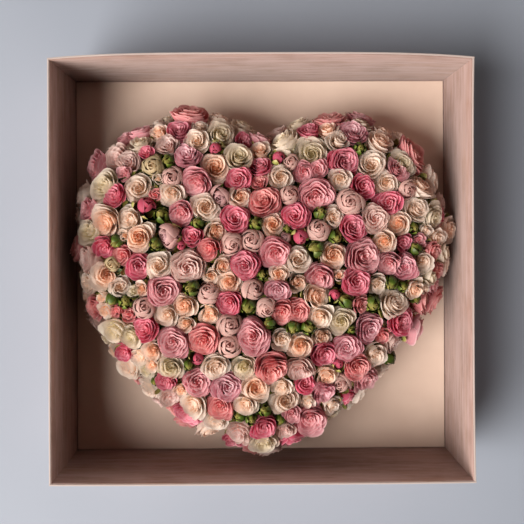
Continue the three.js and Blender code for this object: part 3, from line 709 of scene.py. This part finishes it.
def crumple(points, bloom):
    """Folds nested petals together, so that they wave without crossing: first into lobes, then in waves."""
    rng = np.random.default_rng(CRUMPLE_SEED + bloom.number)
    x, y, z = points.T
    distance = np.hypot(x, y)
    middle = 4 * distance * np.clip(1 - distance, 0, 1)
    turn = rng.integers(*LOBE_COUNTS) * np.arctan2(y, x) + rng.uniform(0, 2 * math.pi)
    lobe = 1 + bloom.kind.lobes * middle * np.cos(turn + LOBE_TWIST * distance)
    points = points * np.column_stack([lobe, lobe, np.ones(len(lobe))])
    for waves, share in CRUMPLE_WAVES:
        phases = rng.uniform(0, 2 * math.pi, 6)
        lean = rng.uniform(-CRUMPLE_LEAN, CRUMPLE_LEAN, 3)
        slope = waves * CRUMPLE_SLOPE * z
        points = points + share * bloom.kind.crumple * np.column_stack([
            np.sin(waves * (y + lean[0] * x) + phases[0]) * np.cos(slope + phases[1]),
            np.sin(waves * (x + lean[1] * y) + phases[2]) * np.cos(slope + phases[3]),
            CRUMPLE_RISE * np.sin(waves * (x - y + lean[2] * z) + phases[4]),
        ])
    return points


def bloom_basis(axis):
    """Rows: the bloom's own X, Y and Z."""
    side = unit(np.cross([0, 1, 0] if abs(axis[1]) < ALONG_Y else [1, 0, 0], axis))
    return np.array([side, np.cross(axis, side), axis])


def lean_axis(bloom):
    """The way a bloom really looks: a little off the mound's normal, since no two stems are alike."""
    rng = np.random.default_rng(LEAN_SEED + bloom.number)
    return unit(bloom.axis + rng.normal(0, bloom.kind.lean, 3))


def keep_behind_neighbours(points, bloom):
    """Squashes a bloom where its neighbours press on it, as roses do when they are packed."""
    if not len(bloom.crowd_limits):
        return points
    away = points - bloom.heart
    press = away @ bloom.crowd_axes.T / np.maximum(bloom.crowd_limits, LEAST_ROOM)
    press = (np.maximum(press, TINY) ** CROWD_SOFTNESS).sum(axis=1) ** (1 / CROWD_SOFTNESS)
    eased = FREE_SHARE + (1 - FREE_SHARE) * np.tanh((press - FREE_SHARE) / (1 - FREE_SHARE))
    share = np.where(press > FREE_SHARE, eased / press, 1)
    return bloom.heart + away * share[:, None]


def bloom_points(across, along, petals, bloom, crumpled):
    """Points of a bloom's petals or sepals at their place on the mound, inside the linings."""
    points = petal_points(across, along, petals)
    if crumpled:
        points = crumple(points, bloom)
    heart = np.array([0, 0, -HEART_DEPTH])
    turned = (points - heart) * bloom.radius * bloom.spread @ bloom_basis(lean_axis(bloom))
    points = keep_behind_neighbours(bloom.heart + turned, bloom) + bloom.axis * bloom.lift
    points[:, :2] = np.clip(points[:, :2], -WALL_FACE, WALL_FACE)
    return points


# Stems and leaves

def tube_points(across, along, path, radii):
    """Points of a tube along a path, with across going once round it."""
    place = along * (len(path) - 1)
    index = np.minimum(place.astype(int), len(path) - 2)
    share = (place - index)[:, None]
    centre = path[index] * (1 - share) + path[index + 1] * share
    radius = np.interp(along, np.linspace(0, 1, len(radii)), radii)[:, None]
    side, other, _ = bloom_basis(unit(path[-1] - path[0]))
    turn = (across * math.pi)[:, None]
    return centre + radius * (np.cos(turn) * side + np.sin(turn) * other)


def bezier(start, pull, end, count):
    share = np.linspace(0, 1, count)[:, None]
    return start * (1 - share) ** 2 + 2 * pull * share * (1 - share) + end * share ** 2


def leaf_points(across, along, base, direction, facing, length):
    """Points of a leaflet with a pointed oval blade, folded along its midrib, with a toothed edge."""
    side = unit(np.cross(facing, direction))
    width = LEAF_WIDTH * length * np.sin(math.pi * along ** LEAF_POINT) ** LEAF_POINT
    teeth = 1 + TOOTH_DEPTH * np.abs(across) * np.cos(along * 2 * LEAF_TEETH * math.pi)
    sideways = across * width * teeth
    lift = LEAF_FOLD * np.abs(sideways) - LEAF_DROOP * length * along ** 2
    return (base + direction * (along * length)[:, None] + side * sideways[:, None]
            + facing * lift[:, None])


# The spray meshes

def add_object(name, shape, material):
    mesh = bpy.data.meshes.new(name)
    shape.to_mesh(mesh)
    shape.free()
    mesh.materials.append(material)
    added = bpy.data.objects.new(name, mesh)
    bpy.context.collection.objects.link(added)
    return added


def stand_for(piece, node):
    """The piece rides on the body, and takes its node's place."""
    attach(piece, "root")
    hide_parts(node)


class Growth:
    """Square sheets that are bent into petals, leaves and stems, then joined as one mesh."""

    def __init__(self):
        self.grown = bmesh.new()
        self.places = []
        self.cells = []
        self.sheet_count = 0
        self.traits = {trait: [] for trait in TRAITS}

    def add(self, count, sheet_kind):
        """Grows flat sheets, and gives each point's sheet, across from -1 to 1 and along from 0 to 1."""
        columns, rows = GRIDS[sheet_kind]
        made = []
        for _ in range(count):
            made += bmesh.ops.create_grid(self.grown, x_segments=columns, y_segments=rows, size=1)["verts"]
        flat = np.array([vert.co[:2] for vert in made])
        sheet = np.repeat(np.arange(count), len(made) // count)
        self.cells.append(np.column_stack([self.sheet_count + sheet, flat]))
        self.sheet_count += count
        return sheet, flat[:, 0], 1 - (1 - (flat[:, 1] + 1) / 2) ** ROWS_TO_LIP

    def place(self, points, *traits):
        """Takes the sheets' points and their traits, in TRAITS' order, for each point or for all."""
        self.places.append(points)
        for (trait, kind), values in zip(TRAITS.items(), traits):
            shape = (len(points), 4) if kind == "FLOAT_COLOR" else len(points)
            self.traits[trait].append(np.broadcast_to(values, shape))

    def finish(self, name, material, node):
        """The piece, standing for its node, with each sheet in its own cell of the bake map."""
        piece = add_object(name, self.grown, material)
        mesh = piece.data
        places = np.concatenate(self.places) * MM
        mesh.vertices.foreach_set("co", places.astype(np.float32).ravel())
        for trait, kind in TRAITS.items():
            joined = np.concatenate(self.traits[trait]).astype(np.float32)
            attribute = mesh.attributes.new(trait, kind, "POINT")
            attribute.data.foreach_set("color" if kind == "FLOAT_COLOR" else "value", joined.ravel())
        cells = np.concatenate(self.cells)
        side = math.ceil(math.sqrt(self.sheet_count))
        corner = np.column_stack([cells[:, 0] % side, cells[:, 0] // side])
        spot = (corner + 0.5 + cells[:, 1:] * CELL_FILL / 2) / side
        loops = np.empty(len(mesh.loops), np.int32)
        mesh.loops.foreach_get("vertex_index", loops)
        mesh.uv_layers.new(name="OFBake").data.foreach_set("uv", spot[loops].astype(np.float32).ravel())
        mesh.shade_smooth()
        mesh.update()
        stand_for(piece, node)


def columns_of(petals, sheet):
    """The petals' numbers, one value for each point."""
    names = vars(petals[0])
    columns = {name: np.array([vars(petal)[name] for petal in petals])[sheet] for name in names}
    return SimpleNamespace(**columns)


def linear(code):
    """A linear RGBA colour from an sRGB hex value."""
    parts = [int(code[i:i + 2], 16) / 255 for i in (1, 3, 5)]
    return [c / 12.92 if c <= 0.04045 else ((c + 0.055) / 1.055) ** 2.4 for c in parts] + [1.0]


def mixed(start, end, share):
    return start + (end - start) * np.asarray(share)[:, None]


def petal_colours(variety, p):
    """The deep, face and edge colours of petals, from the heart's tint to the rim's."""
    heart, rim, edge, deep = (np.array(linear(code)) for code in variety.colours)
    share = np.clip((p.ring / FADE_END) ** variety.fade + HUE_SPREAD * p.hue, 0, 1)
    bright = np.clip(1 + TONE_SPREAD * p.tone, *TONE_LIMITS)[:, None] * [1, 1, 1, 0] + [0, 0, 0, 1]
    # Painted shade: the packed core petal's face leans to the deep colour, for the shaded well at the bloom's
    # centre
    face = mixed(mixed(heart, rim, share), deep, PACKED_DEEP * p.packed)
    # Partly painted shade: each petal's base colour leans to the deep colour, where it goes down into the
    # crevices
    base = mixed(deep, face, BASE_FACE + BASE_FACE_GAIN * share)
    return base * bright, face * bright, edge * bright


def grow_petals(spray, name, node, material):
    growth = Growth()
    for bloom in spray.blooms:
        petals = petals_of(bloom)
        inner = [petal for petal in petals if petal.ring < INNER_PETALS]
        outer = [petal for petal in petals if petal.ring >= INNER_PETALS]
        for sheet_kind, some in (("inner", inner), ("outer", outer)):
            sheet, across, along = growth.add(len(some), sheet_kind)
            p = columns_of(some, sheet)
            points = bloom_points(across, along, p, bloom, True)
            growth.place(points, along, p.tone, *petal_colours(bloom.variety, p))
    growth.finish(name, material, node)


def grow_greens(spray, name, node, material, shown_leaves):
    growth = Growth()
    stem, sepal, bud, leaf = ([linear(code) for code in codes] for codes in GREENS)
    for bloom in spray.blooms:
        sheet_kind, colours = ("bud", bud) if bloom.variety.kind == "closed_bud" else ("sepal", sepal)
        sheet, across, along = growth.add(SEPALS, sheet_kind)
        p = columns_of(sepals_of(bloom), sheet)
        growth.place(bloom_points(across, along, p, bloom, False), along, p.tone, *colours)

        _, across, along = growth.add(1, "branch")
        calyx = bloom.heart + (bloom.calyx - bloom.heart) * BRANCH_TOP
        path = bezier(spray.hub, calyx - bloom.axis * BRANCH_PULL, calyx, BRANCH_POINTS)
        growth.place(tube_points(across, along, path, BRANCH_RADII), along, 0, *stem)

    _, across, along = growth.add(1, "stem")
    foot = spray.hub - spray.axis * STEM_LENGTH
    middle = spray.hub - spray.axis * STEM_LENGTH / 2
    path = bezier(foot, middle, spray.hub + spray.axis * STEM_TOP, STEM_POINTS)
    growth.place(tube_points(across, along, path, STEM_RADII), along, STEM_TONE, *stem)

    rng = np.random.default_rng(LEAF_SEED + round(spray.hub[0]) + LEAF_SEED_STEP * round(spray.hub[1]))
    side, other, _ = bloom_basis(spray.axis)
    start = rng.uniform(0, 2 * math.pi)
    for k in range(LEAVES_PER_SPRAY):
        turn = start + k * 2 * math.pi / LEAVES_PER_SPRAY + rng.normal(0, LEAF_TURN)
        outwards = math.cos(turn) * side + math.sin(turn) * other
        direction = unit(outwards * LEAF_OUT + spray.axis * LEAF_UP)
        facing = unit(np.cross(direction, np.cross(spray.axis, direction)))
        base = spray.hub + spray.axis * LEAF_RISE + outwards * LEAF_START
        _, across, along = growth.add(1, "leaf")
        points = leaf_points(across, along, base, direction, facing, rng.uniform(*LEAF_LENGTHS))
        growth.place(points, along, rng.normal(0, 1), *leaf)
    for base, direction, facing, length in shown_leaves:
        _, across, along = growth.add(1, "shown_leaf")
        points = leaf_points(across, along, base, direction, facing, length)
        growth.place(points, along, SHOWN_LEAF_TONE, *leaf)
    growth.finish(name, material, node)


# The finishes

def add_node(tree, kind, inputs=None, **settings):
    """Adds a node. inputs gives each socket a value, or the socket that feeds it."""
    node = tree.nodes.new(kind)
    for name, value in settings.items():
        setattr(node, name, value)
    for socket, value in (inputs or {}).items():
        if isinstance(value, bpy.types.NodeSocket):
            tree.links.new(value, node.inputs[socket])
        else:
            node.inputs[socket].default_value = value
    return node


def start_material(name):
    material = bpy.data.materials.new(name)
    material.use_nodes = True
    material.node_tree.nodes.clear()
    return material, material.node_tree


def finish_material(tree, colour, relief=None, through=0.0, **inputs):
    """The shader itself, its relief as (height, depth), and the share of light that a thin petal lets
    through. Words in a socket's name are joined by underscores here."""
    named = {name.replace("_", " "): value for name, value in inputs.items()}
    named["Base Color"] = colour
    if relief:
        height, depth = relief
        bump = {"Height": height, "Distance": depth * MM, "Strength": 1.0}
        named["Normal"] = add_node(tree, "ShaderNodeBump", bump).outputs[0]
    surface = add_node(tree, "ShaderNodeBsdfPrincipled", named).outputs["BSDF"]
    if through:
        glow = add_node(tree, "ShaderNodeBsdfTranslucent", {"Color": colour}).outputs["BSDF"]
        surface = add_node(tree, "ShaderNodeMixShader", {0: through, 1: surface, 2: glow}).outputs[0]
    add_node(tree, "ShaderNodeOutputMaterial", {"Surface": surface})


def object_steps(tree, size):
    """Object coordinates, counted in steps of one size, or of three along X, Y and Z."""
    coordinate = add_node(tree, "ShaderNodeTexCoord").outputs["Object"]
    scale = (1 / (np.broadcast_to(size, 3) * MM)).tolist()
    return add_node(tree, "ShaderNodeMapping", {"Vector": coordinate, "Scale": scale}).outputs[0]


def soft_marks(tree, size, detail=3.0, roughness=0.55, distortion=0.0):
    """A pattern of soft light and dark marks of this size."""
    inputs = {"Vector": object_steps(tree, size), "Scale": 1.0, "Detail": detail, "Roughness": roughness,
              "Distortion": distortion}
    return add_node(tree, "ShaderNodeTexNoise", inputs).outputs["Fac"]


def tinted(tree, colour, tint, pattern, ends, shares=(0.0, 1.0), blend_type="MIX"):
    """The colour, with a share of the tint that changes as the pattern goes from one end to the other."""
    change = {
        "Value": pattern, "From Min": ends[0], "From Max": ends[1], "To Min": shares[0], "To Max": shares[1],
    }
    share = add_node(tree, "ShaderNodeMapRange", change, interpolation_type="SMOOTHSTEP").outputs[0]
    inputs = {0: share, 6: colour, 7: tint}
    return add_node(tree, "ShaderNodeMix", inputs, data_type="RGBA", blend_type=blend_type).outputs[2]


def paper(name, colours, streak, run, roughness):
    """Suede-like wrapping paper: brushed in streaks along its run, clouded, and dulled by a fine nap."""
    material, tree = start_material(name)
    dark, warm, light = (linear(code) for code in colours)
    length, width = streak
    sizes = np.array([length if axis == run else width for axis in range(3)])
    streaks = soft_marks(tree, sizes, detail=4.0, roughness=0.6, distortion=0.3)
    tints = soft_marks(tree, sizes * TINT_TO_STREAK, roughness=0.6, distortion=0.6)
    nap = soft_marks(tree, NAP, detail=2.0)
    colour = tinted(tree, dark, light, streaks, (0.34, 0.68))
    colour = tinted(tree, colour, warm, tints, (0.5, 0.68), (0.0, 0.6))
    colour = tinted(tree, colour, light, soft_marks(tree, PAPER_CLOUD), (0.35, 0.65), (0.0, 0.5))
    colour = tinted(tree, colour, light, nap, (0.2, 0.8), (0.0, 0.16))
    coordinate = add_node(tree, "ShaderNodeTexCoord").outputs["Object"]
    height = add_node(tree, "ShaderNodeSeparateXYZ", {0: coordinate}).outputs["Z"]
    rim = (RUBBED_HEIGHT * MM, BOX_HEIGHT * MM)
    colour = tinted(tree, colour, linear(RUBBED_COLOUR), height, rim, (0.0, 0.7))
    finish_material(tree, colour, (nap, 0.12), Roughness=roughness, Sheen_Weight=0.25, Sheen_Roughness=0.6,
                    Specular_IOR_Level=0.25)
    return material


def smooth_card(name):
    """Uncoated card: nearly even, with soft clouds and a fine fibre that the light just catches."""
    material, tree = start_material(name)
    dark, light = (linear(code) for code in CARD_COLOURS)
    colour = tinted(tree, dark, light, soft_marks(tree, CARD_CLOUD, detail=4.0), (0.3, 0.7))
    finish_material(tree, colour, (soft_marks(tree, NAP), 0.06), Roughness=0.78, Specular_IOR_Level=0.3)
    return material


def floral_foam(name):
    """Phenolic foam soaked with water: dark green, open-celled and crumbly, with painted shade in the pits
    of its cells.
    """
    material, tree = start_material(name)
    pit_shade, dark, light = (linear(code) for code in FOAM_COLOURS)
    cells = {"Vector": object_steps(tree, FOAM_CELL), "Scale": 1.0}
    cells = add_node(tree, "ShaderNodeTexVoronoi", cells).outputs["Distance"]
    colour = tinted(tree, dark, light, soft_marks(tree, FOAM_CRUMB, detail=4.0), (0.3, 0.7))
    # Painted shade: the colour darkens in the pits of the cells
    colour = tinted(tree, colour, pit_shade, cells, (0.0, 0.5), (0.55, 0.0))
    finish_material(tree, colour, (cells, 0.6), Roughness=0.9)
    return material


def moulded_backing(name):
    """Moulded polystyrene: white beads pressed together, faintly dimpled."""
    material, tree = start_material(name)
    dark, light = (linear(code) for code in BACKING_COLOURS)
    beads = {"Vector": object_steps(tree, BEAD), "Scale": 1.0}
    beads = add_node(tree, "ShaderNodeTexVoronoi", beads).outputs["Distance"]
    colour = tinted(tree, light, dark, beads, (0.0, 0.6))
    finish_material(tree, colour, (beads, 0.3), Roughness=0.6)
    return material


def grown_colour(tree, rise, lip, lip_tint_and_highlight_share):
    """The colour that a petal or leaf carries: deep at its base, then its face, then its edge. The deep
    base is partly its own colour and partly painted shade where it goes down between its neighbours,
    and the pale edge partly its own colour and partly a painted highlight.
    """
    along, deep, face, edge = (
        add_node(tree, "ShaderNodeAttribute", attribute_name=trait).outputs[output]
        for trait, output in (("along", "Fac"), ("deep", "Color"), ("face", "Color"), ("edge", "Color")))
    colour = tinted(tree, deep, face, along, rise)
    return tinted(tree, colour, edge, along, lip, (0.0, lip_tint_and_highlight_share)), along, deep


def rose_petals(name):
    """Fresh rose petals: a soft velvety skin, paler at the lip, partly a painted highlight, with fine veins,
    and a darker, mottled tip that is painted shade of the gaps between petals.
    """
    material, tree = start_material(name)
    # The lips' pale colour is partly the petals' own and partly a painted highlight; the bases' is partly
    # painted shade
    colour, along, deep = grown_colour(tree, (0.38, 0.88), (0.9, 1.0), 0.7)
    mottle = soft_marks(tree, MOTTLE)
    veins = soft_marks(tree, VEIN, detail=2.0, roughness=0.6, distortion=1.2)
    # Painted shade: the very tip of each lip darkens towards the deep colour in mottled patches, for the
    # shadowed gaps between petals
    painted_gap_shade = tinted(tree, colour, deep, mottle, (0.4, 0.65), (0.15, 0.7))
    colour = tinted(tree, colour, painted_gap_shade, along, (0.95, 1.0))
    colour = tinted(tree, colour, linear(PETAL_SHEEN), mottle, (0.25, 0.75), (0.0, 0.22), "SOFT_LIGHT")
    colour = tinted(tree, colour, linear(PETAL_VEINS), veins, (0.3, 0.7), (0.12, 0.0), "MULTIPLY")
    finish_material(tree, colour, (veins, 0.12), through=0.5, Roughness=0.55, Specular_IOR_Level=0.35,
                    Sheen_Weight=0.15, Sheen_Roughness=0.5)
    return material


def waxy_greens(name):
    """Sepals, buds, leaves and stems: a waxy cuticle over a finely netted skin."""
    material, tree = start_material(name)
    # The pale edges are partly a painted highlight, and the dark bases partly painted shade
    colour, _, _ = grown_colour(tree, (0.05, 0.6), (0.75, 1.0), 0.8)
    patches = soft_marks(tree, GREEN_PATCH)
    colour = tinted(tree, colour, linear(GREEN_PATCHES), patches, (0.3, 0.7), (0.0, 0.35), "OVERLAY")
    finish_material(tree, colour, (soft_marks(tree, VEIN, detail=2.0), 0.1), Roughness=0.48,
                    Specular_IOR_Level=0.4, Coat_Weight=0.06, Coat_Roughness=0.3)
    return material


# The box

def long_edges(panel, axis, size):
    """The edges that run along an axis for more than half of the panel's size."""
    return [
        edge for edge in panel.edges
        if abs(edge.verts[0].co[axis] - edge.verts[1].co[axis]) > size[axis] / 2
    ]


def add_panel(name, node, run, bow, material):
    """A wall panel at its node's place, its rim eased, bowed towards its middle as a full card box is."""
    low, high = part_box(node)
    size = high - low
    panel = bmesh.new()
    place = Matrix.Translation((low + high) / 2) @ Matrix.Diagonal((*size, 1))
    bmesh.ops.create_cube(panel, size=1, matrix=place)
    rim = [edge for edge in long_edges(panel, run, size) if edge.verts[0].co.z > (low.z + high.z) / 2]
    bmesh.ops.bevel(panel, geom=rim, offset=RIM_BEVEL * MM, segments=RIM_SEGMENTS, affect="EDGES",
                    profile=0.5, material=-1)
    bmesh.ops.subdivide_edges(panel, edges=long_edges(panel, run, size), cuts=PANEL_CUTS)
    bmesh.ops.subdivide_edges(panel, edges=long_edges(panel, 2, size), cuts=PANEL_ROWS)
    for vert in panel.verts:
        height = vert.co.z / (BOX_HEIGHT * MM)
        from_middle = abs(vert.co[run]) / (BOX_SIDE * MM / 2)
        vert.co += bow * (1 - from_middle ** BOW_FLATNESS) * height ** BOW_RISE
    piece = add_object(name, panel, material)
    piece.data.shade_smooth()
    piece.data.set_sharp_from_angle(angle=math.radians(SHARP_ANGLE))
    stand_for(piece, node)


def add_box():
    wraps = []
    linings = []
    for run, way in enumerate(("across", "along")):
        wraps.append(paper(f"wrapping_paper_{way}", WRAP_COLOURS, WRAP_STREAK, run, 0.82))
        linings.append(paper(f"lining_paper_brushed_{way}", LINING_COLOURS, LINING_STREAK, run, 0.86))
    for side, (run, outwards, bow) in WALLS.items():
        bow = Vector(outwards) * bow * MM
        add_panel(f"wrapped_wall_{side}", f"wall_board_{side}", run, bow, wraps[run])
        add_panel(f"paper_lining_{side}", f"lining_{side}", run, bow, linings[run])
    finishes = {
        "base_board": wraps[0], "floor_card": smooth_card("floor_card_uncoated"),
        "foam_backing": moulded_backing("polystyrene_backing"), "foam_heart": floral_foam("wet_floral_foam"),
    }
    for node, material in finishes.items():
        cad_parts[node].data.materials.clear()
        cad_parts[node].data.materials.append(material)


# The sprays

def leaves_near(sprays):
    """The leaves that show between the roses, each on the spray nearest to it."""
    near = {id(spray): [] for spray in sprays}
    for x, y, turn, length in SHOWN_LEAVES:
        face, axis = place_on_mound(x, y)
        tip = np.array([math.cos(math.radians(turn)), math.sin(math.radians(turn)), 0])
        direction = unit(tip - axis * (tip @ axis) + axis * SHOWN_LEAF_UP)
        facing = unit(axis - direction * (axis @ direction))
        base = face - axis * SHOWN_LEAF_DEPTH - direction * length / 2
        nearest = min(sprays, key=lambda spray: np.linalg.norm(spray.hub - face))
        near[id(nearest)].append((base, direction, facing, length))
    return near


def add_sprays():
    petals = rose_petals("fresh_rose_petals")
    greens = waxy_greens("waxy_rose_greens")
    sprays = planted_sprays()
    leaves = leaves_near(sprays)
    for index, spray in enumerate(sprays, start=1):
        node = f"rose_spray_{index:02d}"
        grow_petals(spray, f"spray_{index:02d}_blooms", node, petals)
        grow_greens(spray, f"spray_{index:02d}_greens", node, greens, leaves[id(spray)])


# The studio

def add_floor():
    """A plain blue-grey surface under the box, which pales towards the horizon: painted light that makes
    up for the lamp's light falling off far from the box.
    """
    material, tree = start_material("pale_matte_surface")
    dark, light, far = (linear(code) for code in FLOOR_COLOURS)
    clouds = soft_marks(tree, FLOOR_CLOUD, detail=2.0)
    coordinate = add_node(tree, "ShaderNodeTexCoord").outputs["Object"]
    away = add_node(tree, "ShaderNodeVectorMath", {0: coordinate}, operation="LENGTH").outputs["Value"]
    colour = tinted(tree, dark, light, clouds, (0.3, 0.7))
    # Painted light: the floor pales with distance, where the lamp's light falls off
    finish_material(tree, tinted(tree, colour, far, away, FLOOR_PAINTED_LIGHT_REACH), Roughness=0.7)
    ground = bmesh.new()
    place = Matrix.Translation((0, 0, -FLOOR_DROP * MM))
    bmesh.ops.create_grid(ground, x_segments=1, y_segments=1, size=FLOOR_REACH, matrix=place)
    add_object("studio_floor", ground, material)


def add_lamp():
    lamp = bpy.data.lights.new("soft_key", "AREA")
    lamp.shape = "DISK"
    lamp.size = KEY_SIZE
    lamp.energy = KEY_POWER
    lamp.color = linear(KEY_COLOUR)[:3]
    light = bpy.data.objects.new("soft_key", lamp)
    light.location = KEY_PLACE
    light.rotation_euler = (Vector(KEY_TARGET) - Vector(KEY_PLACE)).to_track_quat("-Z", "Y").to_euler()
    bpy.context.collection.objects.link(light)


def add_room():
    """The walls of a pale room, which light the surface from low down."""
    world = bpy.data.worlds.new("pale_studio")
    world.use_nodes = True
    tree = world.node_tree
    tree.nodes.clear()
    direction = add_node(tree, "ShaderNodeTexCoord").outputs["Generated"]
    rise = add_node(tree, "ShaderNodeSeparateXYZ", {0: direction}).outputs["Z"]
    at_horizon, overhead = ROOM_STRENGTH
    change = {
        "Value": rise, "From Min": 0.0, "From Max": ROOM_TOP, "To Min": at_horizon, "To Max": overhead,
    }
    strength = add_node(tree, "ShaderNodeMapRange", change, interpolation_type="SMOOTHSTEP").outputs[0]
    room = add_node(tree, "ShaderNodeBackground", {"Color": linear(ROOM_COLOUR), "Strength": strength})
    add_node(tree, "ShaderNodeOutputWorld", {"Surface": room.outputs[0]})
    bpy.context.scene.world = world
    bpy.context.scene.view_settings.view_transform = "Standard"


def add_camera():
    """The photograph's view, from above the box, fitted to its eight inner and outer corners."""
    lens = bpy.data.cameras.new("view_from_above")
    lens.sensor_width = SENSOR_WIDTH
    lens.lens = FOCAL_PIXELS / PHOTO_PIXELS * SENSOR_WIDTH
    lens.shift_x, lens.shift_y = CAMERA_SHIFT
    lens.clip_start = CLIP_START
    lens.clip_end = CLIP_END
    camera = bpy.data.objects.new("view_from_above", lens)
    roll = Matrix.Rotation(math.radians(CAMERA_ROLL), 3, "Z")
    turn = roll @ Matrix.Rotation(math.radians(CAMERA_TILT), 3, "Y")
    camera.matrix_world = Matrix.Translation(Vector(CAMERA_PLACE) * MM) @ turn.transposed().to_4x4()
    bpy.context.collection.objects.link(camera)
    bpy.context.scene.camera = camera


add_camera()
add_floor()
add_lamp()
add_room()
add_box()
add_sprays()
